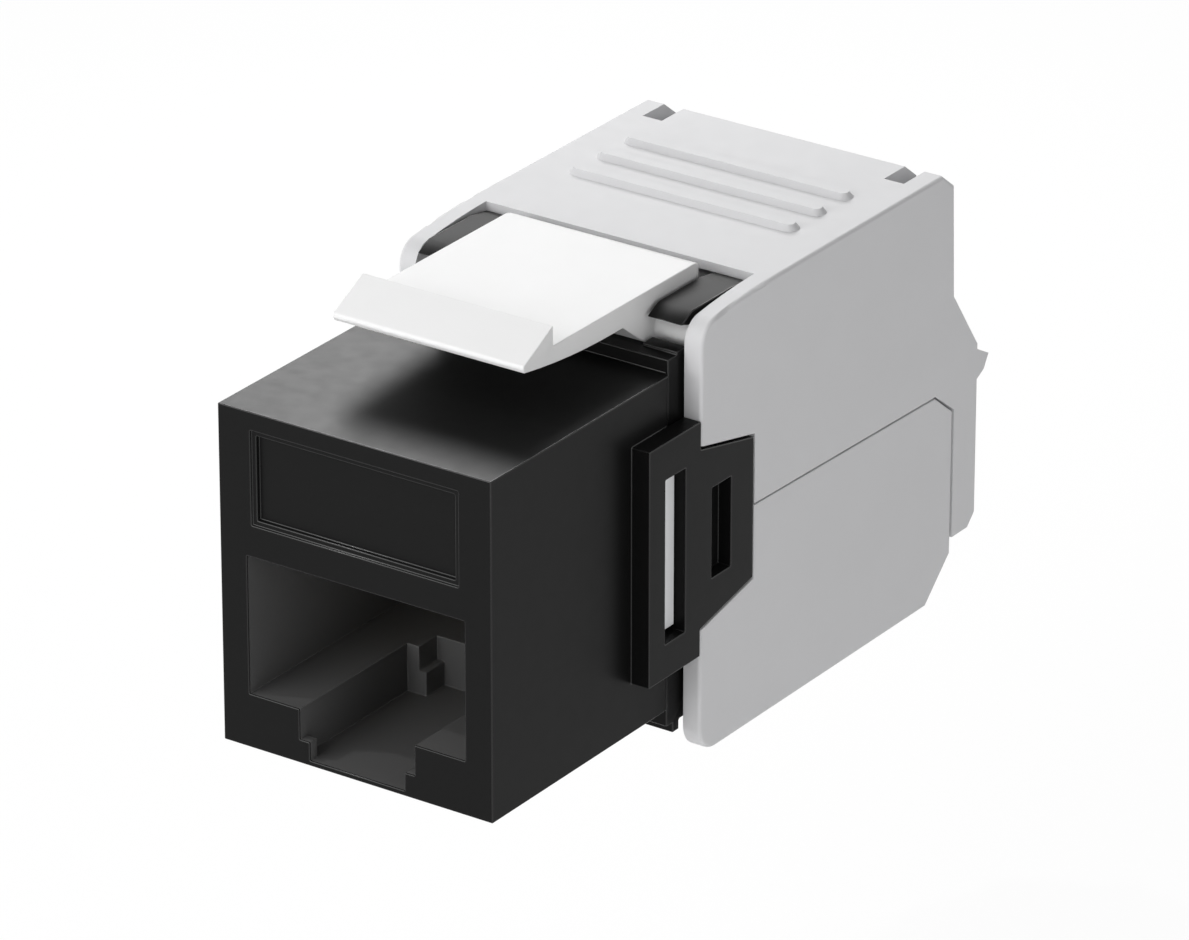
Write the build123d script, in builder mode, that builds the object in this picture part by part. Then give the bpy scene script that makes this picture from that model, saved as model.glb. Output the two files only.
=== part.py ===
from build123d import *
import os
from math import cos, radians, sin, tan

os.makedirs("parts", exist_ok=True)

# Tool-less keystone jack, in millimetres.
# X runs across the jack, Y from the front face towards the cable, Z upwards.
# The origin is the middle of the front face's bottom edge.

# Box behind the front face
face_width = 14.7
face_height = 16.5
box_depth = 13.8
box_corner = 0.3

# Plug port in the front face
port_width = 11.8
port_height = 6.8
port_sill = 2.65
port_depth = 11.6
comb_wall = 0.3
slot_width = 6.3
slot_depth = 8.2
slot_floor = 0.25
lip_width = 5.2
lip_top = 1.15
lip_depth = 0.6
stop_gap = 4.2
stop_length = 1.4
stop_step_width = 5.0
stop_step_depth = 1.2

# Hollow above the port
front_wall = 1.55
ceiling_wall = 0.55

# Label recess above the port
label_width = 11.2
label_height = 4.6
label_margin = 0.9
label_depth = 0.35
label_rim = 0.25
label_rim_depth = 0.12

# Collar and sleeve behind the box
sleeve_wall = 0.55
sleeve_length = 4.0
sleeve_drop = 0.75
sleeve_roof = 0.65
sleeve_under = 0.95
sleeve_floor = 0.6
collar_length = 1.0
collar_rise = 0.65
collar_chamfer = 0.3
lip_bar_height = 0.5
lip_bar_length = 0.5

# Wings that stop the jack against the panel
wing_front = 10.73
wing_stand = 0.03
wing_low = 2.5
wing_head = 2.4
wing_tail = 4.25
wing_shoulder = 1.38
wing_heel = 1.35
wing_taper = 0.95
window_inset = 1.27
window_width = 1.6
window_sill = 1.7
window_head = 1.83
pocket_inset = 4.97
pocket_width = 1.55
pocket_low = 6.04
pocket_height = 4.46
pocket_depth = 0.7

# Fixed lug under the box that hooks behind the panel
lug_width = 6.4
lug_front = 8.0
lug_length = 2.4
lug_drop = 1.35
lug_ramp = 1.1

# How far a cut runs past the surface that it opens
cut_past = 1.0

# Grey shell made of an upper and a lower cover
shell_width = 16.6
shell_wall = 0.95
plate_wall = 1.0
side_gap = 0.15
front_gap = 0.07
wing_gap = 0.12
seam_gap = 0.1
seam_rise = 0.17
seam_fall = 0.2
shell_bottom = -2.57
cover_round = 0.18
rear_gap = 0.77
strip_thickness = 1.95
strip_gap = 0.08
strip_bottom = 0.2
strip_top = 9.45
waist_height = 12.43

# Upper pivot, shared by the latch lever and the upper cover, and the lower cover's pivot
upper_pivot_back = 1.73
upper_pivot_rise = 0.9
upper_pin_radius = 0.8
lower_pivot_back = 1.43
lower_pivot_z = 0.3
lower_pin_radius = 0.65
cover_pin_radius = 0.45
cover_pin_length = 1.0
pin_clearance = 0.05

# Bearing brackets over the upper pivot
bracket_gap = 0.2
bracket_nose_reach = 1.75
bracket_nose_rise = 1.05
bracket_rise = 1.47
bracket_fall = 0.19
bracket_flat = 2.4
bracket_reach = 3.65
mouth_height = 1.25
jaw_lip_rise = 0.15
jaw_lip_reach = 1.3

# Latch lever
lever_width = 10.3
lever_rise = 2.1
lever_thickness = 1.12
lever_tip = 5.52
lever_ridge = 7.89
lever_ridge_height = 0.96
lever_reach = 3.2
lever_boss_radius = 1.0
lever_round = 1.0
lever_corner = 0.8
lever_tip_round = 0.2
barrel_root = 0.13
lever_tip_blunt = 0.2
lever_tip_low = 0.58
lever_tip_high = 0.88
lever_belly_length = 0.7
lever_neck = 3.33
lever_web = 1.7
lever_web_drop = 0.25

# Contact insert and its springs
contact_count = 8
contact_pitch = 1.016
wire_width = 0.4
wire_height = 0.3
wire_gap = 0.04
wire_rise = 0.25
wire_front = 3.9
wire_bend = 0.45
wire_fall = 1.0
wire_dip = 2.4
wire_slope_back = 1.0
wire_comb = 0.7
comb_play = 0.3
comb_drop = 0.7
insert_roof = 0.95
insert_front = 3.4
insert_length = 2.9
insert_roof_width = 9.2
channel_gap = 0.1
tail_inset = 0.9

# Terminal carrier, circuit board and terminals
snug_gap = 0.05
arm_wall = 0.65
hook_depth = 0.58
hook_ramp = 0.3
bar_length = 1.2
bar_gap = 0.1
arm_sill_gap = 0.25
arm_head_gap = 0.1
board_middle = 8.2
board_thickness = 1.0
board_gap = 0.2
block_length = 9.3
block_height = 5.85
channel_width = 1.4
channel_depth = 3.2
channel_count = 4
terminal_margin = 0.6
blade_width = 2.2
blade_thickness = 0.4
blade_fork = 0.36
blade_inset = 0.4
blade_first = 2.3
blade_step = 4.2
blade_shift = 1.4
tail_width = 0.5
tail_hole = 0.4
manager_thickness = 1.2
manager_overhang = 0.3
manager_height = 11.2
notch_radius = 0.65
fin_length = 2.2
fin_radius = 3.0
fin_thickness = 0.8

# Upper cover's nose, plate, grips and nubs
shell_rise = 1.62
nose_radius = 1.175
nose_slope = 7.1
nose_length = 6.2
plate_gap = 0.18
plate_lip = 0.45
plate_lip_length = 0.77
rear_edge = 1.21
rear_bevel = 1.0
rear_bevel_drop = 0.78
foot_bevel = 0.6
grip_width = 12.54
grip_breadth = 1.0
grip_height = 0.28
grip_taper = 38
grip_first = 5.25
grip_pitch = 2.23
grip_count = 3
rear_notch_in = 6.17
rear_notch_width = 1.08
rear_notch_length = 1.78
rear_notch_depth = 0.9
cable_radius = 4.0
presser_width = 1.1
presser_length = 7.4
presser_gap = 0.2
nub_width = 0.7
nub_reach = 1.0
nub_drop = 0.28
nub_height = 1.54
nub_tip_drop = 0.55
nub_heel_reach = 0.6
nub_heel_drop = 1.23

# Lower cover's outline
heel_radius = 1.3
floor_back = 3.53
seam_bevel = 1.59
seam_bevel_drop = 1.26
toe_bevel = 2.1
toe_bevel_rise = 1.99

# Stations along Y
collar_rear = box_depth + collar_length
sleeve_rear = collar_rear + sleeve_length
shell_front = collar_rear + front_gap
upper_pivot_y = shell_front + upper_pivot_back
lower_pivot_y = shell_front + lower_pivot_back
cavity_front = port_depth + comb_wall
window_front = wing_front + window_inset
wing_rear = collar_rear + wing_tail
cut_rear = wing_rear + wing_gap
insert_rear = port_depth + insert_length
board_front = insert_rear + board_gap
wire_tail = board_front + tail_inset
bar_front = sleeve_rear + board_gap
block_front = bar_front + bar_length + bar_gap
presser_front = block_front + (block_length - presser_length) / 2
board_rear = block_front + block_length
manager_front = board_rear + bar_length
manager_rear = manager_front + manager_thickness
shell_rear = manager_rear + fin_length + rear_gap + plate_wall
strip_front = shell_rear + strip_gap
strip_rear = strip_front + strip_thickness
bracket_rear = upper_pivot_y + bracket_reach
plate_front = bracket_rear + plate_gap

# Levels along Z
port_top = port_sill + port_height
label_high = face_height - label_margin
label_middle = label_high - label_height / 2
sleeve_top = face_height - sleeve_drop
cavity_top = sleeve_top - sleeve_roof
collar_top = face_height + collar_rise
wing_high = face_height - wing_head
wing_top = wing_high - wing_shoulder
wing_bottom = wing_low + wing_heel
window_low = wing_low + window_sill
window_high = wing_high - window_head
upper_pivot_z = face_height + upper_pivot_rise
shell_top = upper_pivot_z + shell_rise
lever_top = upper_pivot_z + lever_rise
lever_under = lever_top - lever_thickness
wire_level = port_top + wire_rise
wire_low = wire_level - wire_height / 2 - wire_gap
wire_high = wire_level + wire_height / 2 + wire_gap
insert_top = wire_high + insert_roof
board_top = board_middle + board_thickness / 2
board_bottom = board_middle - board_thickness / 2
upper_reach = board_top + snug_gap + block_height
lower_reach = board_bottom - snug_gap - block_height
seam_front = board_middle + seam_rise
seam_rear = board_middle - seam_fall
seam_low = seam_rear - seam_bevel_drop

# Half widths along X
half_face = face_width / 2
half_shell = shell_width / 2
half_inner = half_shell - shell_wall
half_sleeve = half_inner - side_gap
half_cavity = half_sleeve - sleeve_wall
half_wing = half_shell + wing_stand
half_arm = half_cavity - snug_gap
half_board = half_arm - arm_wall - snug_gap
half_barrel = half_sleeve
hook_face = half_wing - hook_depth

# Places of the port's wires and of the eight terminals
wire_slot = wire_width + 2 * wire_gap
wire_places = [(index - (contact_count - 1) / 2) * contact_pitch for index in range(contact_count)]
channel_pitch = (2 * half_board - blade_width - 2 * terminal_margin) / (channel_count - 1)
channel_places = [(index - (channel_count - 1) / 2) * channel_pitch for index in range(channel_count)]
upper_blades = [
    (x, block_front + blade_first + blade_step * (index % 2)) for index, x in enumerate(channel_places)
]
lower_blades = [(x, y + blade_shift) for x, y in upper_blades]


def middle(length):
    """Low and high end of a stretch centred on zero."""
    return (-length / 2, length / 2)


def about(place, length):
    """Low and high end of a stretch centred on a place."""
    return (place - length / 2, place + length / 2)


def both_sides(low, high):
    """The same X stretch on the left and on the right."""
    return ((-high, -low), (low, high))


def block(x, y, z, mode=Mode.ADD):
    """Rectangular stretch between low and high ends on X, Y and Z."""
    with BuildSketch(Plane.XY.offset(z[0])) as area:
        with Locations(((x[0] + x[1]) / 2, (y[0] + y[1]) / 2)):
            Rectangle(x[1] - x[0], y[1] - y[0])
    extrude(area.sketch, amount=z[1] - z[0], mode=mode)


def side_outline(points, x, mode=Mode.ADD):
    """Closed outline of (Y, Z) points, filled between two X values."""
    with BuildSketch(Plane.YZ.offset(x[0])) as area:
        with BuildLine():
            Polyline(*points, close=True)
        make_face()
    extrude(area.sketch, amount=x[1] - x[0], mode=mode)


def cross_rod(y, z, radius, x, mode=Mode.ADD):
    """Round rod along X about the axis at (Y, Z)."""
    with BuildSketch(Plane.YZ.offset(x[0])) as area:
        with Locations((y, z)):
            Circle(radius)
    extrude(area.sketch, amount=x[1] - x[0], mode=mode)


# Front housing: port, label recess, wings, sleeve, pivot brackets and lug
with BuildPart() as front_housing:
    with BuildSketch(Plane.XZ):
        with Locations((0, face_height / 2)):
            Rectangle(face_width, face_height)
    extrude(amount=-box_depth)
    fillet(front_housing.edges().filter_by(Axis.Z).group_by(Axis.Y)[-1], radius=box_corner)
    block(middle(2 * half_sleeve), (box_depth, collar_rear), (-sleeve_under, collar_top))
    collar_edge = front_housing.edges().filter_by(Axis.X).group_by(Axis.Z)[-1].sort_by(Axis.Y)[-1]
    chamfer(collar_edge, length=collar_chamfer)
    block(middle(2 * half_sleeve), (collar_rear, sleeve_rear), (-sleeve_under, sleeve_top))
    block(
        middle(2 * half_sleeve),
        (collar_rear - lip_bar_length, collar_rear),
        (-sleeve_under - lip_bar_height, -sleeve_under),
    )
    # wings: a square head against the panel and a tapered tail between the covers
    for x in both_sides(half_face, half_wing):
        block(x, (wing_front, collar_rear), (wing_low, wing_high))
    for x in both_sides(half_sleeve, half_wing):
        side_outline(
            [
                (collar_rear, wing_bottom),
                (wing_rear, wing_bottom + wing_taper),
                (wing_rear, wing_top - wing_taper),
                (collar_rear, wing_top),
            ],
            x,
        )
    # brackets whose open jaws hold the lever's barrel and the upper cover's pins
    for x in both_sides(lever_width / 2 + bracket_gap, half_sleeve):
        side_outline(
            [
                (collar_rear - collar_chamfer, cavity_top),
                (bracket_rear, cavity_top),
                (bracket_rear, upper_pivot_z + bracket_rise - bracket_fall),
                (upper_pivot_y + bracket_flat, upper_pivot_z + bracket_rise),
                (upper_pivot_y - bracket_nose_reach / 2, upper_pivot_z + bracket_rise),
                (upper_pivot_y - bracket_nose_reach, upper_pivot_z + bracket_nose_rise),
                (upper_pivot_y - upper_pin_radius / 2, upper_pivot_z + mouth_height / 2),
                (upper_pivot_y - upper_pin_radius / 2, upper_pivot_z - mouth_height / 2),
                (upper_pivot_y - jaw_lip_reach, upper_pivot_z - mouth_height / 2),
                (upper_pivot_y - jaw_lip_reach, collar_top + jaw_lip_rise),
                (collar_rear - collar_chamfer, collar_top + jaw_lip_rise),
            ],
            x,
        )
        cross_rod(
            upper_pivot_y, upper_pivot_z, upper_pin_radius + pin_clearance, x, mode=Mode.SUBTRACT
        )
    side_outline(
        [
            (lug_front, 0),
            (lug_front, -lug_drop),
            (lug_front + lug_length - lug_ramp, -lug_drop),
            (lug_front + lug_length, 0),
        ],
        middle(lug_width),
    )
    # plug port with its latch slot, whose floor ends in two stop blocks
    block(middle(port_width), (0, cavity_front), (port_sill, port_top), mode=Mode.SUBTRACT)
    block(middle(lip_width), (0, lip_depth), (slot_floor, lip_top), mode=Mode.SUBTRACT)
    block(middle(slot_width), (0, lip_depth), (lip_top, port_sill), mode=Mode.SUBTRACT)
    block(
        middle(slot_width), (lip_depth, slot_depth), (slot_floor, port_sill), mode=Mode.SUBTRACT
    )
    block(
        middle(stop_gap),
        (slot_depth, slot_depth + stop_length),
        (slot_floor, port_sill),
        mode=Mode.SUBTRACT,
    )
    block(
        middle(stop_step_width),
        (slot_depth, slot_depth + stop_length),
        (port_sill - stop_step_depth, port_sill),
        mode=Mode.SUBTRACT,
    )
    # channel in the port's ceiling, hollow above it and open sleeve behind it
    block(
        middle(insert_roof_width + 2 * channel_gap),
        (insert_front - channel_gap, cavity_front),
        (port_top, insert_top + channel_gap),
        mode=Mode.SUBTRACT,
    )
    block(
        middle(port_width),
        (label_depth + front_wall, cavity_front),
        (insert_top + channel_gap + ceiling_wall, cavity_top),
        mode=Mode.SUBTRACT,
    )
    block(
        middle(2 * half_cavity),
        (cavity_front, sleeve_rear),
        (sleeve_floor, cavity_top),
        mode=Mode.SUBTRACT,
    )
    for x in both_sides(half_board, half_cavity):
        block(x, (window_front, sleeve_rear), (window_low, window_high), mode=Mode.SUBTRACT)
    # label recess: a shallow rim and a deeper floor
    for width, height, depth in (
        (label_width, label_height, label_rim_depth),
        (label_width - 2 * label_rim, label_height - 2 * label_rim, label_depth),
    ):
        with BuildSketch(Plane.XZ) as label_area:
            with Locations((0, label_middle)):
                Rectangle(width, height)
        extrude(label_area.sketch, amount=-depth, mode=Mode.SUBTRACT)
    # windows for the carrier's hooks and blind pockets in the wings
    for x in both_sides(half_cavity, half_wing):
        block(
            x,
            (window_front, window_front + window_width),
            (window_low, window_high),
            mode=Mode.SUBTRACT,
        )
    for x in both_sides(half_wing - pocket_depth, half_wing):
        block(
            x,
            (wing_front + pocket_inset, wing_front + pocket_inset + pocket_width),
            (pocket_low, pocket_low + pocket_height),
            mode=Mode.SUBTRACT,
        )
    # bores for the lower cover's pins
    for x in both_sides(half_cavity, half_sleeve):
        cross_rod(
            lower_pivot_y, lower_pivot_z, lower_pin_radius + pin_clearance, x, mode=Mode.SUBTRACT
        )
front_housing.part.label = "front_housing"
export_step(front_housing.part, "parts/front_housing.step")

# Contact insert: roof over the port, comb block behind it
with BuildPart() as contact_insert:
    block(middle(insert_roof_width), (insert_front, insert_rear), (wire_high, insert_top))
    block(
        middle(port_width - 2 * snug_gap),
        (port_depth, cavity_front + snug_gap),
        (port_sill + snug_gap, port_top - snug_gap),
    )
    block(
        middle(2 * half_board),
        (cavity_front + snug_gap, insert_rear),
        (port_sill + snug_gap, insert_top),
    )
    for place in wire_places:
        block(
            about(place, wire_slot), (port_depth, insert_rear), (wire_low, wire_high), mode=Mode.SUBTRACT
        )
        block(
            about(place, wire_slot),
            (port_depth, port_depth + wire_comb + comb_play),
            (wire_level - wire_dip - comb_drop, wire_high),
            mode=Mode.SUBTRACT,
        )
contact_insert.part.label = "contact_insert"
export_step(contact_insert.part, "parts/contact_insert.step")

# Contact springs: one folded wire for each way of the port
for index, place in enumerate(wire_places):
    with BuildPart() as contact_spring:
        with BuildLine(Plane.YZ.offset(place)) as wire_path:
            FilletPolyline(
                (wire_tail, board_bottom - wire_height),
                (wire_tail, wire_level),
                (wire_front, wire_level),
                (wire_front + wire_bend / 2, wire_level - wire_fall),
                (port_depth - wire_slope_back, wire_level - wire_dip),
                (port_depth + wire_comb, wire_level - wire_dip - wire_height / 2),
                radius=wire_bend,
            )
        with BuildSketch(wire_path.line ^ 0):
            Rectangle(wire_width, wire_height)
        sweep()
    contact_spring.part.label = f"contact_spring_{index + 1}"
    export_step(contact_spring.part, f"parts/contact_spring_{index + 1}.step")

# Circuit board between the insert and the terminals
with BuildPart() as circuit_board:
    block(middle(2 * half_board), (board_front, board_rear), (board_bottom, board_top))
    with BuildSketch(Plane.XY.offset(board_bottom)) as holes:
        with Locations(*[(place, wire_tail) for place in wire_places]):
            Circle(tail_hole)
        with Locations(*upper_blades, *lower_blades):
            Rectangle(tail_width + 2 * wire_gap, blade_thickness + 2 * wire_gap)
    extrude(holes.sketch, amount=board_thickness, mode=Mode.SUBTRACT)
circuit_board.part.label = "circuit_board"
export_step(circuit_board.part, "parts/circuit_board.step")

# Terminal carrier: two arms that snap into the wings, joined by two bars
arm_low = window_low + arm_sill_gap
arm_high = window_high - arm_head_gap
hook_front = window_front + snug_gap
hook_rear = window_front + window_width - snug_gap
with BuildPart() as terminal_carrier:
    for x in both_sides(half_arm - arm_wall, half_arm):
        block(x, (hook_front, manager_front), (arm_low, arm_high))
    with BuildSketch(Plane.XY.offset(arm_low)) as hooks:
        with BuildLine():
            Polyline(
                (half_arm, hook_front),
                (hook_face - hook_ramp, hook_front),
                (hook_face, hook_front + hook_ramp),
                (hook_face, hook_rear),
                (half_arm, hook_rear),
                close=True,
            )
        make_face()
        mirror(about=Plane.YZ)
    extrude(hooks.sketch, amount=arm_high - arm_low)
    for front in (bar_front, board_rear):
        block(middle(2 * half_arm), (front, front + bar_length), (arm_low, arm_high))
    block(
        middle(2 * (half_board + snug_gap)),
        (bar_front, bar_front + bar_length),
        (board_bottom - snug_gap, board_top + snug_gap),
        mode=Mode.SUBTRACT,
    )
terminal_carrier.part.label = "terminal_carrier"
export_step(terminal_carrier.part, "parts/terminal_carrier.step")


def terminal_block(seat, reach, channels, blades):
    """Block from the board's face at seat to reach, with wire channels and blade slits."""
    span = (min(seat, reach), max(seat, reach))
    block(middle(2 * half_board), (block_front, board_rear), span)
    for place in channel_places:
        block(about(place, channel_width), (block_front, board_rear), channels, mode=Mode.SUBTRACT)
    for x, y in blades:
        block(
            about(x, blade_width + 2 * wire_gap),
            about(y, blade_thickness + 2 * wire_gap),
            span,
            mode=Mode.SUBTRACT,
        )


# Upper and lower terminal blocks, channelled for four wires each
with BuildPart() as terminal_block_upper:
    terminal_block(
        board_top + snug_gap, upper_reach, (upper_reach - channel_depth, upper_reach), upper_blades
    )
terminal_block_upper.part.label = "terminal_block_upper"
export_step(terminal_block_upper.part, "parts/terminal_block_upper.step")

with BuildPart() as terminal_block_lower:
    terminal_block(
        board_bottom - snug_gap, lower_reach, (lower_reach, lower_reach + channel_depth), lower_blades
    )
terminal_block_lower.part.label = "terminal_block_lower"
export_step(terminal_block_lower.part, "parts/terminal_block_lower.step")

# Terminal blades: forked plates whose tails stand in the board
blade_places = [(x, y, board_top + snug_gap, 1) for x, y in upper_blades]
blade_places += [(x, y, board_bottom - snug_gap, -1) for x, y in lower_blades]
for index, (x, y, seat, side) in enumerate(blade_places):
    tip = seat + side * (block_height - blade_inset)
    root = seat + side * (block_height - channel_depth)
    half_outline = [
        (tail_width / 2, seat - side * board_thickness),
        (tail_width / 2, seat),
        (blade_width / 2, seat),
        (blade_width / 2, tip),
        (blade_fork, tip),
        (blade_fork / 2, tip - side * blade_fork),
        (blade_fork / 2, root),
    ]
    with BuildPart() as terminal_blade:
        with BuildSketch(Plane.XZ.offset(blade_thickness / 2 - y)):
            with BuildLine():
                Polyline(
                    *[(x + across, level) for across, level in half_outline],
                    *[(x - across, level) for across, level in reversed(half_outline)],
                    close=True,
                )
            make_face()
        extrude(amount=-blade_thickness)
    terminal_blade.part.label = f"terminal_blade_{index + 1}"
    export_step(terminal_blade.part, f"parts/terminal_blade_{index + 1}.step")

# Wire manager: plate with a notch for each wire and a cross that parts the pairs
with BuildPart() as wire_manager:
    with BuildSketch(Plane.XZ.offset(-manager_front)):
        with Locations((0, board_middle)):
            RectangleRounded(2 * (half_board + manager_overhang), manager_height, radius=notch_radius)
        for level in about(board_middle, manager_height):
            with Locations(*[(place, level) for place in channel_places]):
                Circle(notch_radius, mode=Mode.SUBTRACT)
    extrude(amount=-manager_thickness)
    with BuildSketch(Plane.XZ.offset(-manager_rear)):
        with Locations((0, board_middle)):
            Rectangle(2 * fin_radius, fin_thickness)
            Rectangle(fin_thickness, 2 * fin_radius)
    extrude(amount=-fin_length)
wire_manager.part.label = "wire_manager"
export_step(wire_manager.part, "parts/wire_manager.step")

# Upper cover: cheeks, top plate, rear wall with the cable arch, strip behind the lower cover
nose_angle = radians(nose_slope)
nose_rear = shell_front + nose_radius * (1 - sin(nose_angle))
plate_flat = shell_front + nose_length
nose_drop = (plate_flat - nose_rear) * tan(nose_angle / 2)
nose_top = shell_top - nose_drop
nose_low = nose_top - nose_radius * cos(nose_angle)
rear_edge_y = shell_rear - rear_edge
with BuildPart() as upper_cover:
    with BuildSketch(Plane.YZ.offset(-half_shell)):
        with BuildLine():
            Polyline(
                (cut_rear, seam_front + seam_gap / 2),
                (cut_rear, wing_top - wing_taper + wing_gap),
                (shell_front, wing_top + wing_gap),
                (shell_front, nose_low),
            )
            RadiusArc((shell_front, nose_low), (nose_rear, nose_top), nose_radius)
            TangentArc(
                (nose_rear, nose_top), (plate_flat, shell_top), tangent=(cos(nose_angle), sin(nose_angle))
            )
            Polyline(
                (plate_flat, shell_top),
                (rear_edge_y, shell_top),
                (rear_edge_y + rear_bevel, shell_top - rear_bevel_drop),
                (shell_rear, waist_height),
                (strip_rear, strip_top),
                (strip_rear, strip_bottom + foot_bevel),
                (strip_rear - foot_bevel, strip_bottom),
                (strip_front, strip_bottom),
                (strip_front, seam_low + seam_gap / 2),
                (shell_rear - seam_bevel, seam_rear + seam_gap / 2),
                (cut_rear, seam_front + seam_gap / 2),
            )
        make_face()
    extrude(amount=shell_width)
    cheek_edges = upper_cover.faces().filter_by(Axis.X).edges()
    fillet(
        cheek_edges.filter_by_position(Axis.Z, wing_top + wing_gap, shell_top), radius=cover_round
    )
    side_outline(
        [
            (shell_front - cut_past, strip_bottom - cut_past),
            (shell_front - cut_past, shell_top + cut_past),
            (plate_front, shell_top + cut_past),
            (plate_front, shell_top - plate_lip),
            (plate_front + plate_lip_length, shell_top - plate_wall),
            (rear_edge_y, shell_top - plate_wall),
            (shell_rear - plate_wall, waist_height),
            (strip_rear - plate_wall, strip_top - plate_wall / 2),
            (strip_rear - plate_wall, strip_bottom - cut_past),
        ],
        middle(2 * half_inner),
        mode=Mode.SUBTRACT,
    )
    # notches in the rear corners of the plate, each with its own floor
    for x in both_sides(rear_notch_in, half_inner):
        block(
            x,
            (rear_edge_y - rear_notch_length - plate_wall, rear_edge_y),
            (shell_top - 2 * rear_notch_depth, shell_top - rear_notch_depth),
        )
    for x in both_sides(rear_notch_in, rear_notch_in + rear_notch_width):
        block(
            x,
            (rear_edge_y - rear_notch_length, shell_rear),
            (shell_top - rear_notch_depth, shell_top),
            mode=Mode.SUBTRACT,
        )
    # cable arch, open at the bottom so that the cover lifts off the cable
    with BuildSketch(Plane.XZ.offset(2 * plate_wall - shell_rear)) as arch:
        with Locations((0, board_middle)):
            Circle(cable_radius)
        with Locations((0, (board_middle + strip_bottom - cut_past) / 2)):
            Rectangle(2 * cable_radius, board_middle - strip_bottom + cut_past)
    extrude(arch.sketch, amount=-(strip_thickness + 3 * plate_wall), mode=Mode.SUBTRACT)
    # grip ribs
    with BuildSketch(Plane.XY.offset(shell_top)) as grips:
        with Locations(
            *[(0, plate_front + grip_first + grip_pitch * index) for index in range(grip_count)]
        ):
            SlotOverall(grip_width, grip_breadth)
    extrude(grips.sketch, amount=grip_height, taper=grip_taper)
    # pressers that hold the wires in the upper block
    for place in channel_places:
        block(
            about(place, presser_width),
            (presser_front, presser_front + presser_length),
            (upper_reach + presser_gap, shell_top - plate_wall),
        )
    # pivot pins and rear nubs
    for x in both_sides(half_barrel - cover_pin_length + pin_clearance, half_inner):
        cross_rod(upper_pivot_y, upper_pivot_z, cover_pin_radius, x)
    for x in both_sides(half_shell - nub_width, half_shell):
        side_outline(
            [
                (strip_rear - strip_gap, strip_top - nub_drop),
                (strip_rear, strip_top - nub_drop),
                (strip_rear + nub_reach, strip_top - nub_drop - nub_tip_drop),
                (strip_rear + nub_heel_reach, strip_top - nub_drop - nub_heel_drop),
                (strip_rear, strip_top - nub_drop - nub_height),
                (strip_rear - strip_gap, strip_top - nub_drop - nub_height),
            ],
            x,
        )
upper_cover.part.label = "upper_cover"
export_step(upper_cover.part, "parts/upper_cover.step")

# Lower cover: side walls, floor to stand on, rear wall with the cable notch
with BuildPart() as lower_cover:
    with BuildSketch(Plane.YZ.offset(-half_shell)):
        with BuildLine():
            Polyline(
                (shell_front, shell_bottom + heel_radius),
                (shell_front, wing_bottom - wing_gap),
                (cut_rear, wing_bottom + wing_taper - wing_gap),
                (cut_rear, seam_front - seam_gap / 2),
                (shell_rear - seam_bevel, seam_rear - seam_gap / 2),
                (shell_rear, seam_low - seam_gap / 2),
                (shell_rear, shell_bottom + toe_bevel_rise),
                (shell_rear - toe_bevel, shell_bottom),
                (shell_front + heel_radius, shell_bottom),
            )
            RadiusArc(
                (shell_front + heel_radius, shell_bottom),
                (shell_front, shell_bottom + heel_radius),
                heel_radius,
            )
        make_face()
    extrude(amount=shell_width)
    wall_edges = lower_cover.faces().filter_by(Axis.X).edges()
    fillet(
        wall_edges.filter_by_position(Axis.Z, shell_bottom, wing_bottom - wing_gap), radius=cover_round
    )
    side_outline(
        [
            (shell_front - cut_past, shell_bottom - cut_past),
            (shell_front + floor_back, shell_bottom - cut_past),
            (shell_front + floor_back, shell_bottom + plate_wall),
            (shell_rear - toe_bevel - plate_wall / 2, shell_bottom + plate_wall),
            (shell_rear - plate_wall, shell_bottom + toe_bevel_rise + plate_wall / 2),
            (shell_rear - plate_wall, seam_front + cut_past),
            (shell_front - cut_past, seam_front + cut_past),
        ],
        middle(2 * half_inner),
        mode=Mode.SUBTRACT,
    )
    with BuildSketch(Plane.XZ.offset(2 * plate_wall - shell_rear)) as notch:
        with Locations((0, board_middle)):
            Circle(cable_radius)
    extrude(notch.sketch, amount=-3 * plate_wall, mode=Mode.SUBTRACT)
    for place in channel_places:
        block(
            about(place, presser_width),
            (presser_front, presser_front + presser_length),
            (shell_bottom + plate_wall, lower_reach - presser_gap),
        )
    for x in both_sides(half_cavity + snug_gap, half_inner):
        cross_rod(lower_pivot_y, lower_pivot_z, lower_pin_radius, x)
lower_cover.part.label = "lower_cover"
export_step(lower_cover.part, "parts/lower_cover.step")

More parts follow.
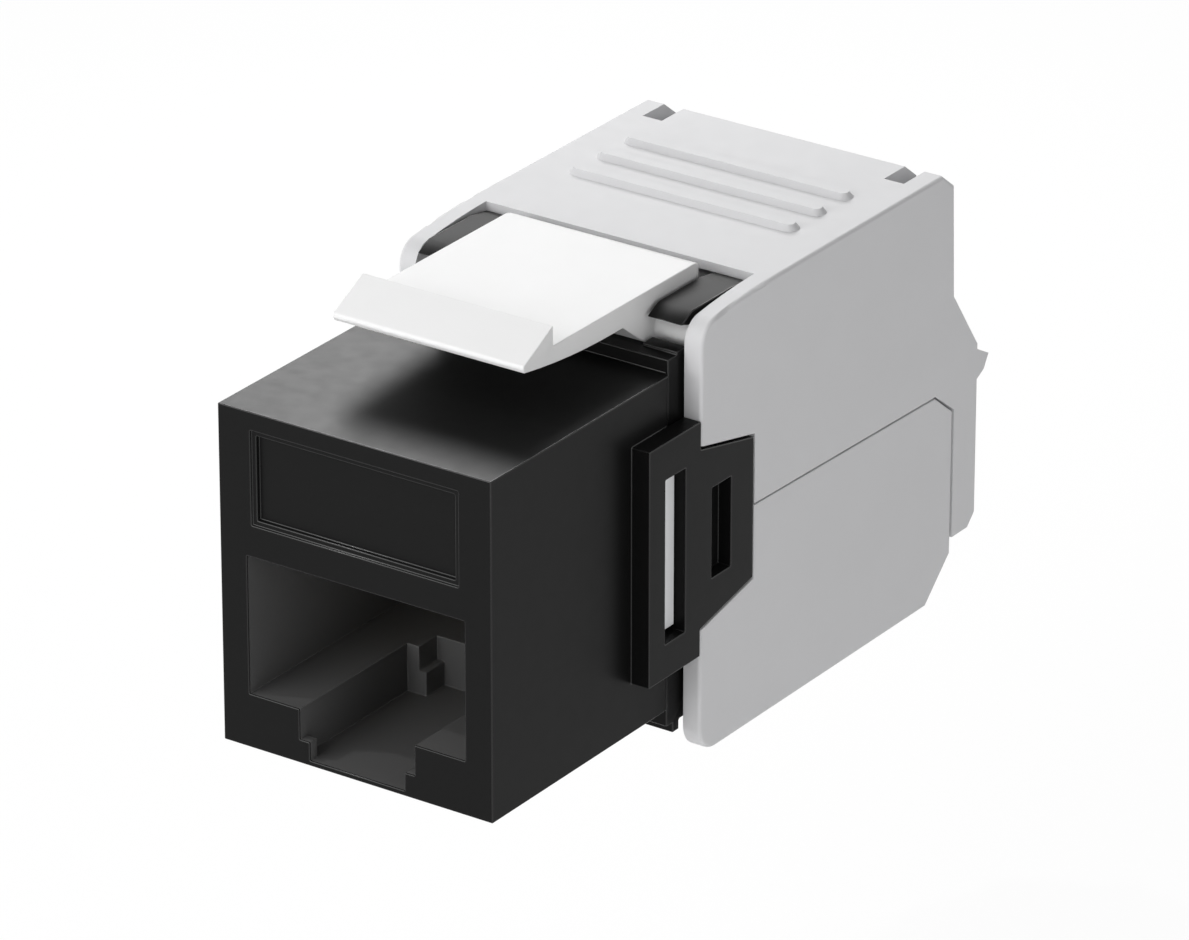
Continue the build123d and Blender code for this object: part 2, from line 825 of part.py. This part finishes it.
# Latch lever: finger lip, plate, boss and barrel
lever_rear = upper_pivot_y + lever_reach
lever_length = lever_rear - lever_tip + cut_past
lever_low = upper_pivot_z - lever_boss_radius - cut_past
lever_high = lever_top + lever_ridge_height + cut_past
neck_front = upper_pivot_y - lever_neck
belly_front = neck_front - lever_belly_length
with BuildPart() as latch_lever:
    with BuildSketch(Plane.YZ.offset(-lever_width / 2)):
        with BuildLine():
            Line((neck_front, lever_under), (belly_front, lever_under))
            TangentArc(
                (belly_front, lever_under),
                (lever_tip + lever_tip_blunt, lever_under + lever_tip_low),
                tangent=(-1, 0),
            )
            Polyline(
                (lever_tip + lever_tip_blunt, lever_under + lever_tip_low),
                (lever_tip, lever_under + lever_tip_high),
                (lever_ridge, lever_top + lever_ridge_height),
                (lever_ridge, lever_top),
                (lever_rear - lever_round, lever_top),
            )
            RadiusArc(
                (lever_rear - lever_round, lever_top), (lever_rear, lever_top - lever_round), lever_round
            )
            Polyline(
                (lever_rear, lever_top - lever_round),
                (upper_pivot_y + lever_boss_radius, upper_pivot_z),
                (upper_pivot_y, upper_pivot_z - lever_boss_radius),
                (upper_pivot_y - lever_web, upper_pivot_z - lever_web_drop),
                (neck_front, lever_under),
            )
        make_face()
    extrude(amount=lever_width)
    fillet(latch_lever.edges().filter_by(Axis.X).sort_by(Axis.Y)[0], radius=lever_tip_round)
    # rear corners, rounded as seen from above
    with BuildSketch(Plane.XY.offset(lever_low)) as plan:
        with Locations((0, lever_rear - lever_length / 2)):
            Rectangle(lever_width, lever_length)
        fillet(plan.vertices().group_by(Axis.Y)[-1], radius=lever_corner)
    extrude(plan.sketch, amount=lever_high - lever_low, mode=Mode.INTERSECT)
    cross_rod(upper_pivot_y, upper_pivot_z, lever_boss_radius, middle(lever_width))
    cross_rod(upper_pivot_y, upper_pivot_z, upper_pin_radius, middle(2 * half_barrel))
    barrel_rims = latch_lever.edges().filter_by(GeomType.CIRCLE).filter_by(
        lambda rim: abs(rim.radius - upper_pin_radius) < pin_clearance
    )
    fillet(barrel_rims.sort_by(Axis.X)[1:3], radius=barrel_root)
    # bores in the barrel's ends for the upper cover's pins
    for x in both_sides(half_barrel - cover_pin_length, half_barrel):
        cross_rod(
            upper_pivot_y, upper_pivot_z, cover_pin_radius + pin_clearance, x, mode=Mode.SUBTRACT
        )
latch_lever.part.label = "latch_lever"
export_step(latch_lever.part, "parts/latch_lever.step")
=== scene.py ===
import math

import bpy
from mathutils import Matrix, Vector


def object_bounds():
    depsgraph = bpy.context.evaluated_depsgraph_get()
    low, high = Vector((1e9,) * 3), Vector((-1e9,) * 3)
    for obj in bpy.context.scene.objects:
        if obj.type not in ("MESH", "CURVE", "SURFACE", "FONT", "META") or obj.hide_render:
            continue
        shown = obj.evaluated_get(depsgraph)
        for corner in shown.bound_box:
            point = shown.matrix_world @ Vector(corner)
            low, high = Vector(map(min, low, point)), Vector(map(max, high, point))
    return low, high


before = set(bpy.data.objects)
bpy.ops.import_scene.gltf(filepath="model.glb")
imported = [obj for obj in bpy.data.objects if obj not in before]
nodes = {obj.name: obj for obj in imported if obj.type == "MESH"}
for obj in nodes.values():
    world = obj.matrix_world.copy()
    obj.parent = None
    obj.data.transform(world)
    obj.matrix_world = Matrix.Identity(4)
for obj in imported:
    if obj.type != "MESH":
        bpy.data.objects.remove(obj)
cad_low, cad_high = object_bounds()

MM = 0.001
WHITE = (1, 1, 1, 1)

# Camera: the photograph's width and focal length in pixels, and the sensor's width in millimetres
PHOTO_WIDTH = 1189
FOCAL_PIXELS = 8238.0
SENSOR_WIDTH = 36.0

# Camera: its viewing angle in degrees, and its distance and aim in millimetres
AZIMUTH = 34.62
ELEVATION = 24.71
CAMERA_DISTANCE = 374.2
CAMERA_AIM = (0.60, 17.64, 8.64)

# Camera: the nearest and farthest that it sees, as shares of its distance
NEAREST_SHARE = 0.1
FARTHEST_SHARE = 10

# Key lamp: its direction as seen from the object, its strength and its width in degrees
KEY_DIRECTION = (-0.53, -0.24, 0.81)
KEY_STRENGTH = 0.5
KEY_ANGLE = 2.0

# Soft lamps: direction as seen from the object, size in millimetres, and brightness of the surface
SOFT_LAMPS = {
    "back_lamp": ((-0.49, 0.67, 0.56), 70.0, 9.4),
    "fill_lamp": ((-0.35, -0.85, 0.40), 140.0, 2.8),
    "side_lamp": ((0.90, -0.38, 0.10), 140.0, 1.25),
    "front_lamp": ((0.05, -0.97, 0.10), 140.0, 1.1),
}
LAMP_DISTANCE = 160.0

# World and floor: sizes in millimetres, and the share of plain white in the floor where it is seen
WORLD_STRENGTH = 0.25
FLOOR_SIZE = 1200.0
FLOOR_DROP = 19.5
FLOOR_COLOUR = (0.9, 0.9, 0.9, 1)
FLOOR_WHITE_SHARE = 0.92

# Plastics: colour, least and most roughness, size and height of the grain in millimetres, specular level
PLASTICS = {
    "black_plastic": ((0.006, 0.006, 0.006), (0.34, 0.38), 0.09, 0.002, 0.075),
    "black_edge": ((0.008, 0.008, 0.008), (0.20, 0.22), 0.09, 0.0003, 0.32),
    "black_insert": ((0.07, 0.07, 0.07), (0.38, 0.48), 0.09, 0.004, 0.3),
    "grey_plastic": ((0.62, 0.62, 0.63), (0.56, 0.60), 0.10, 0.004, 0.25),
    "white_plastic": ((0.77, 0.77, 0.77), (0.49, 0.51), 0.10, 0.003, 0.2),
    "light_grey_plastic": ((0.84, 0.85, 0.86), (0.4, 0.5), 0.10, 0.004, 0.5),
    "manager_plastic": ((0.80, 0.80, 0.79), (0.4, 0.5), 0.10, 0.004, 0.5),
    "block_plastic": ((0.74, 0.74, 0.71), (0.42, 0.52), 0.10, 0.004, 0.5),
    "board_lacquer": ((0.012, 0.12, 0.05), (0.2, 0.3), 0.25, 0.004, 0.5),
}

# Metals: colour, and least and most roughness
METALS = {
    "gold_plate": ((0.86, 0.62, 0.26), (0.2, 0.32)),
    "tin_plate": ((0.66, 0.67, 0.68), (0.28, 0.42)),
}

# Unevenness of plastic: share of brightness, patch sizes of tone and gloss in millimetres, grain strength
PLASTIC_TONE = 0.008
PLASTIC_TONE_SIZE = 3.5
PLASTIC_GLOSS_SIZE = 0.8
PLASTIC_GRAIN_STRENGTH = 0.35

# Unevenness of metal: the same, with the size and height of its drawing marks in millimetres
METAL_TONE = 0.06
METAL_TONE_SIZE = 0.6
METAL_GLOSS_SIZE = 0.15
METAL_GRAIN_SIZE = 0.06
METAL_GRAIN_HEIGHT = 0.004
METAL_GRAIN_STRENGTH = 0.3

# Noise: levels of detail in patches and in grain, and the stretch of its values that is spread out
PATCH_DETAIL = 2.0
GRAIN_DETAIL = 4.0
NOISE_LOW = 0.3
NOISE_HIGH = 0.7

# Material of each node but the front housing, and of the wires and blades by the start of their names
NODE_MATERIALS = {
    "contact_insert": "black_insert",
    "upper_cover": "grey_plastic",
    "lower_cover": "grey_plastic",
    "latch_lever": "white_plastic",
    "terminal_carrier": "light_grey_plastic",
    "wire_manager": "manager_plastic",
    "terminal_block_upper": "block_plastic",
    "terminal_block_lower": "block_plastic",
    "circuit_board": "board_lacquer",
}
GROUP_MATERIALS = {
    "contact_spring": "gold_plate",
    "terminal_blade": "tin_plate",
}

# Box of the port's inside in millimetres, and the lighter black painted there: painted light that stands in
# for light falling into the port
PORT_PAINTED_LIGHT_LOW = (-5.95, 0.08, 0.1)
PORT_PAINTED_LIGHT_HIGH = (5.95, 11.9, 9.5)
PORT_PAINTED_LIGHT = (0.09, 0.09, 0.09)

# Brackets of the lever in millimetres, left and right, moulded less smooth than the rest
BRACKET_BOXES = (((-8.4, 10.8, 17.6), (-3.0, 20.0, 24.0)), ((3.0, 10.8, 17.6), (8.4, 20.0, 24.0)))
BRACKET_ROUGHNESS = 0.5

# Rounding of the moulded edges: its width in millimetres on each node
ROUNDED_EDGES = {
    "front_housing": 0.05,
    "contact_insert": 0.04,
    "terminal_carrier": 0.05,
    "lower_cover": 0.06,
    "latch_lever": 0.05,
    "wire_manager": 0.05,
}

# Rounding: facets across it, the angles in degrees that are rounded and creased, and the weld in metres
ROUNDING_FACETS = 3
SHARP_ANGLE = 60.0
CREASE_ANGLE = 40.0
WELD_DISTANCE = 1e-7
EDGE_SLOT = 1


def direction_from(azimuth, elevation):
    """Unit vector from the object towards a viewer at that azimuth and elevation."""
    across = math.cos(elevation)
    return Vector((math.sin(azimuth) * across, -math.cos(azimuth) * across, math.sin(elevation)))


def link(name, data):
    """New object of the scene that holds that data."""
    thing = bpy.data.objects.new(name, data)
    bpy.context.scene.collection.objects.link(thing)
    return thing


def place(thing, towards, distance):
    """Puts a camera or lamp at a distance in millimetres in a direction, facing the middle of the object."""
    thing.location = (Vector(CAMERA_AIM) + towards * distance) * MM
    thing.rotation_mode = "QUATERNION"
    thing.rotation_quaternion = (-towards).to_track_quat("-Z", "Y")


def make_camera():
    """Camera of the main view."""
    data = bpy.data.cameras.new("camera")
    data.sensor_width = SENSOR_WIDTH
    data.lens = FOCAL_PIXELS * SENSOR_WIDTH / PHOTO_WIDTH
    data.clip_start = CAMERA_DISTANCE * MM * NEAREST_SHARE
    data.clip_end = CAMERA_DISTANCE * MM * FARTHEST_SHARE
    camera = link("camera", data)
    place(camera, direction_from(math.radians(AZIMUTH), math.radians(ELEVATION)), CAMERA_DISTANCE)
    bpy.context.scene.camera = camera


def add_lamp(name, kind, direction):
    """Lamp that shines at the middle of the object from a direction."""
    data = bpy.data.lights.new(name, kind)
    place(link(name, data), Vector(direction).normalized(), LAMP_DISTANCE)
    return data


def add_soft_lamp(name, direction, size, radiance):
    """Square lamp of that size in millimetres, whose surface is as bright as that."""
    lamp = add_lamp(name, "AREA", direction)
    lamp.shape = "SQUARE"
    lamp.size = size * MM
    lamp.energy = radiance * math.pi * lamp.size**2


def make_lamps():
    """Key lamp from the left and soft lamps round the object."""
    key = add_lamp("key_lamp", "SUN", KEY_DIRECTION)
    key.energy = KEY_STRENGTH
    key.angle = math.radians(KEY_ANGLE)
    for name, (direction, size, radiance) in SOFT_LAMPS.items():
        add_soft_lamp(name, direction, size, radiance)


def calculate(tree, operation, first, second):
    """Socket with the result of one operation on two sockets."""
    node = tree.nodes.new("ShaderNodeMath")
    node.operation = operation
    tree.links.new(first, node.inputs[0])
    tree.links.new(second, node.inputs[1])
    return node.outputs[0]


def seen_directly(tree):
    """Socket that is 1 for rays that show the background, and 0 for light that falls on the object."""
    path = tree.nodes.new("ShaderNodeLightPath")
    total = path.outputs["Is Camera Ray"]
    for name in ("Is Glossy Ray", "Is Transmission Ray"):
        total = calculate(tree, "MAXIMUM", total, path.outputs[name])
    return total


def glow(tree, kind, strength):
    """White light of that kind of shader and that strength."""
    node = tree.nodes.new(kind)
    node.inputs["Color"].default_value = WHITE
    node.inputs["Strength"].default_value = strength
    return node.outputs[0]


def blend_to_output(tree, kind, share, first, second):
    """Output that turns from the first shader to the second as the share goes from 0 to 1."""
    output = tree.nodes.new(kind)
    mix = tree.nodes.new("ShaderNodeMixShader")
    tree.links.new(share, mix.inputs[0])
    tree.links.new(first, mix.inputs[1])
    tree.links.new(second, mix.inputs[2])
    tree.links.new(mix.outputs[0], output.inputs[0])


def make_world():
    """White all round, at full strength where it is seen and lower where it only gives light."""
    world = bpy.data.worlds.new("studio")
    bpy.context.scene.world = world
    world.use_nodes = True
    tree = world.node_tree
    tree.nodes.clear()
    light = glow(tree, "ShaderNodeBackground", WORLD_STRENGTH)
    seen = glow(tree, "ShaderNodeBackground", 1.0)
    blend_to_output(tree, "ShaderNodeOutputWorld", seen_directly(tree), light, seen)


def floor_material():
    """Pale matt floor, almost white where it is seen."""
    material = bpy.data.materials.new("floor")
    material.use_nodes = True
    tree = material.node_tree
    tree.nodes.clear()
    diffuse = tree.nodes.new("ShaderNodeBsdfDiffuse")
    diffuse.inputs["Color"].default_value = FLOOR_COLOUR
    white = glow(tree, "ShaderNodeEmission", 1.0)
    share = tree.nodes.new("ShaderNodeMath")
    share.operation = "MULTIPLY"
    share.inputs[1].default_value = FLOOR_WHITE_SHARE
    tree.links.new(seen_directly(tree), share.inputs[0])
    blend_to_output(tree, "ShaderNodeOutputMaterial", share.outputs[0], diffuse.outputs[0], white)
    return material


def make_floor():
    """Floor that clears the open lower cover and keeps a faint shadow."""
    half = FLOOR_SIZE / 2 * MM
    level = cad_low.z - FLOOR_DROP * MM
    mesh = bpy.data.meshes.new("floor")
    corners = [(-half, -half, level), (half, -half, level), (half, half, level), (-half, half, level)]
    mesh.from_pydata(corners, [], [(0, 1, 2, 3)])
    mesh.materials.append(floor_material())
    link("floor", mesh)


def own_coordinates(tree):
    """Socket with the object's own coordinates."""
    return tree.nodes.new("ShaderNodeTexCoord").outputs["Object"]


def noise(tree, size, detail):
    """Noise over the object's own coordinates, with features of about that size in millimetres."""
    texture = tree.nodes.new("ShaderNodeTexNoise")
    texture.inputs["Scale"].default_value = 1 / (size * MM)
    texture.inputs["Detail"].default_value = detail
    tree.links.new(own_coordinates(tree), texture.inputs["Vector"])
    return texture.outputs["Fac"]


def patches(tree, size, low, high):
    """Socket that varies from low to high in patches of that size in millimetres."""
    ranged = tree.nodes.new("ShaderNodeMapRange")
    ranged.inputs["From Min"].default_value = NOISE_LOW
    ranged.inputs["From Max"].default_value = NOISE_HIGH
    ranged.inputs["To Min"].default_value = low
    ranged.inputs["To Max"].default_value = high
    tree.links.new(noise(tree, size, PATCH_DETAIL), ranged.inputs["Value"])
    return ranged.outputs["Result"]


def base_material(name):
    """Material with one shader, its node tree and that shader."""
    material = bpy.data.materials.new(name)
    material.use_nodes = True
    tree = material.node_tree
    return material, tree, tree.nodes["Principled BSDF"]


def tone(tree, shader, colour, variation, size):
    """Colour that varies a little in brightness over patches of that size."""
    mix = tree.nodes.new("ShaderNodeMix")
    mix.data_type = "RGBA"
    mix.inputs["A"].default_value = (*[c * (1 - variation) for c in colour], 1)
    mix.inputs["B"].default_value = (*[c * (1 + variation) for c in colour], 1)
    tree.links.new(patches(tree, size, 0.0, 1.0), mix.inputs["Factor"])
    tree.links.new(mix.outputs["Result"], shader.inputs["Base Color"])


def gloss(tree, shader, roughness, size):
    """Roughness that varies from least to most over patches of that size."""
    tree.links.new(patches(tree, size, *roughness), shader.inputs["Roughness"])


def grain(tree, shader, size, height, strength):
    """Fine moulded grain as bump, its size and height in millimetres."""
    bump = tree.nodes.new("ShaderNodeBump")
    bump.inputs["Strength"].default_value = strength
    bump.inputs["Distance"].default_value = height * MM
    tree.links.new(noise(tree, size, GRAIN_DETAIL), bump.inputs["Height"])
    tree.links.new(bump.outputs["Normal"], shader.inputs["Normal"])


def plastic(name, colour, roughness, grain_size, grain_height, specular):
    """Moulded plastic with a fine grain."""
    material, tree, shader = base_material(name)
    tone(tree, shader, colour, PLASTIC_TONE, PLASTIC_TONE_SIZE)
    gloss(tree, shader, roughness, PLASTIC_GLOSS_SIZE)
    shader.inputs["Specular IOR Level"].default_value = specular
    grain(tree, shader, grain_size, grain_height, PLASTIC_GRAIN_STRENGTH)
    return material


def metal(name, colour, roughness):
    """Plated wire or sheet with fine drawing marks."""
    material, tree, shader = base_material(name)
    tone(tree, shader, colour, METAL_TONE, METAL_TONE_SIZE)
    shader.inputs["Metallic"].default_value = 1.0
    gloss(tree, shader, roughness, METAL_GLOSS_SIZE)
    grain(tree, shader, METAL_GRAIN_SIZE, METAL_GRAIN_HEIGHT, METAL_GRAIN_STRENGTH)
    return material


def between(tree, socket, start, end):
    """Socket that is 1 where another one lies between two places in millimetres, and 0 elsewhere."""
    near = tree.nodes.new("ShaderNodeMath")
    near.operation = "COMPARE"
    near.inputs[1].default_value = (start + end) / 2 * MM
    near.inputs[2].default_value = (end - start) / 2 * MM
    tree.links.new(socket, near.inputs[0])
    return near.outputs[0]


def within(tree, low, high):
    """Socket that is 1 inside a box of the object's own coordinates, and 0 outside it."""
    parts = tree.nodes.new("ShaderNodeSeparateXYZ")
    tree.links.new(own_coordinates(tree), parts.inputs[0])
    across, along, up = [between(tree, *side) for side in zip(parts.outputs, low, high)]
    return calculate(tree, "MULTIPLY", calculate(tree, "MULTIPLY", across, along), up)


def change_within(material, socket_name, kind, value, low, high):
    """Another value of one socket of the shader inside a box of the object's own coordinates."""
    tree = material.node_tree
    socket = tree.nodes["Principled BSDF"].inputs[socket_name]
    outside = socket.links[0].from_socket
    mix = tree.nodes.new("ShaderNodeMix")
    mix.data_type = kind
    mix.inputs["B"].default_value = value
    tree.links.new(within(tree, low, high), mix.inputs["Factor"])
    tree.links.new(outside, mix.inputs["A"])
    tree.links.new(mix.outputs["Result"], socket)


def make_materials():
    """All plastics and metals by name, with painted light (a lighter black) inside the port and the rougher
    brackets of the black one.
    """
    materials = {name: plastic(name, *values) for name, values in PLASTICS.items()}
    for name, values in METALS.items():
        materials[name] = metal(name, *values)
    # Painted light: the port's inside gets a lighter black in the plain and the edge material, standing in
    # for light falling into the port
    for name in ("black_plastic", "black_edge"):
        change_within(materials[name], "Base Color", "RGBA", (*PORT_PAINTED_LIGHT, 1), PORT_PAINTED_LIGHT_LOW, PORT_PAINTED_LIGHT_HIGH)
    for low, high in BRACKET_BOXES:
        change_within(materials["black_plastic"], "Roughness", "FLOAT", BRACKET_ROUGHNESS, low, high)
    return materials


def dress(name, *materials):
    """Gives a node its material, and another one for its rounded edges if there is one."""
    slots = nodes[name].data.materials
    slots.clear()
    for material in materials:
        slots.append(material)


def dress_all(materials):
    """Gives every node its material, and the black front a glossier one on its rounded edges."""
    for name, material in NODE_MATERIALS.items():
        dress(name, materials[material])
    dress("front_housing", materials["black_plastic"], materials["black_edge"])
    for start, material in GROUP_MATERIALS.items():
        for name in nodes:
            if name.startswith(start):
                dress(name, materials[material])


def soften(name, width):
    """Rounds the sharp moulded edges of a node."""
    piece = nodes[name]
    weld = piece.modifiers.new("weld", "WELD")
    weld.merge_threshold = WELD_DISTANCE
    bevel = piece.modifiers.new("edges", "BEVEL")
    bevel.width = width * MM
    bevel.segments = ROUNDING_FACETS
    bevel.limit_method = "ANGLE"
    bevel.angle_limit = math.radians(SHARP_ANGLE)
    bevel.use_clamp_overlap = False
    bevel.loop_slide = False
    bevel.miter_outer = "MITER_ARC"
    if len(piece.data.materials) > EDGE_SLOT:
        bevel.material = EDGE_SLOT
    split = piece.modifiers.new("creases", "EDGE_SPLIT")
    split.split_angle = math.radians(CREASE_ANGLE)
    split.use_edge_sharp = False
    normals = piece.modifiers.new("normals", "WEIGHTED_NORMAL")
    normals.keep_sharp = False


make_camera()
make_lamps()
make_world()
make_floor()
dress_all(make_materials())
for edged, edge_width in ROUNDED_EDGES.items():
    soften(edged, edge_width)

bpy.context.scene.view_settings.view_transform = "Standard"
